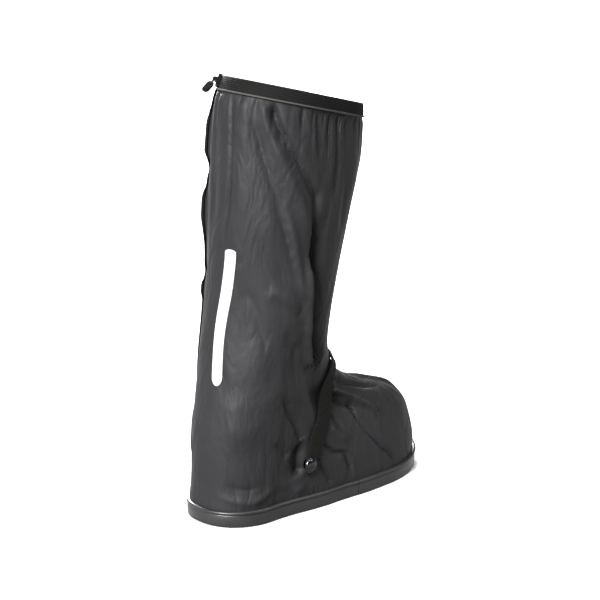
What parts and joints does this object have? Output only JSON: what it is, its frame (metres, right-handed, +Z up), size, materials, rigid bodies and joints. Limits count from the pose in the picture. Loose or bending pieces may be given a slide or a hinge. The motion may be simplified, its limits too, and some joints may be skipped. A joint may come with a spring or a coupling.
{
  "type": "rain overshoe",
  "caption": "Knee-high rain overshoe for the right foot: a zipped coated-fabric shell with an instep strap on a lugged rubber sole.",
  "frame": {"origin": "on the floor, at the middle of the heel's tread, under the centre of the heel", "axes": "+X towards the toe, +Y towards the inner (medial) side of the right foot, +Z up along the shaft"},
  "size_m": [0.3037, 0.1234, 0.4226],
  "materials": {
    "coated_fabric": "dark grey coated polyester, satin sheen",
    "sole_rubber": "matt moulded rubber",
    "insole_fabric": "matt brushed lining",
    "band_rubber": "satin calendered rubber",
    "elastic": "fine ribbed elastic",
    "zip_tape": "woven zip tape",
    "zip_coil": "nylon coil",
    "placket_fabric": "dark coated polyester",
    "dark_metal": "blackened, polished",
    "webbing": "woven webbing",
    "bright_film": "white retroreflective film",
    "silver_film": "silver retroreflective film",
    "black_film": "black printed film"
  },
  "bodies": {
    "boot": {"upper": "coated_fabric", "outsole": "sole_rubber", "insole": "insole_fabric", "foxing_toe": "band_rubber", "foxing_rear": "band_rubber", "collar_binding": "elastic", "zip_tape": "zip_tape", "zip_chain": "zip_coil", "zip_placket_front": "placket_fabric", "zip_placket_rear": "placket_fabric", "zip_slider": "dark_metal", "instep_strap": "webbing", "snap_stud_lateral": "dark_metal", "snap_stud_medial": "dark_metal", "snap_cap_lateral": "dark_metal", "snap_cap_medial": "dark_metal", "reflective_strip": "bright_film", "heel_reflector_border": "black_film", "heel_reflector": "silver_film"},
    "pull_tab": {"zip_pull": "dark_metal"}
  },
  "joints": [
    {"name": "pull_tab_hinge", "type": "hinge", "parent": "boot", "child": "pull_tab", "pos_m": [0.01289, 0.03729, 0.41752], "axis": [-0.5555, -0.8101, 0.1874], "range_deg": [-145, 10]}
  ]
}
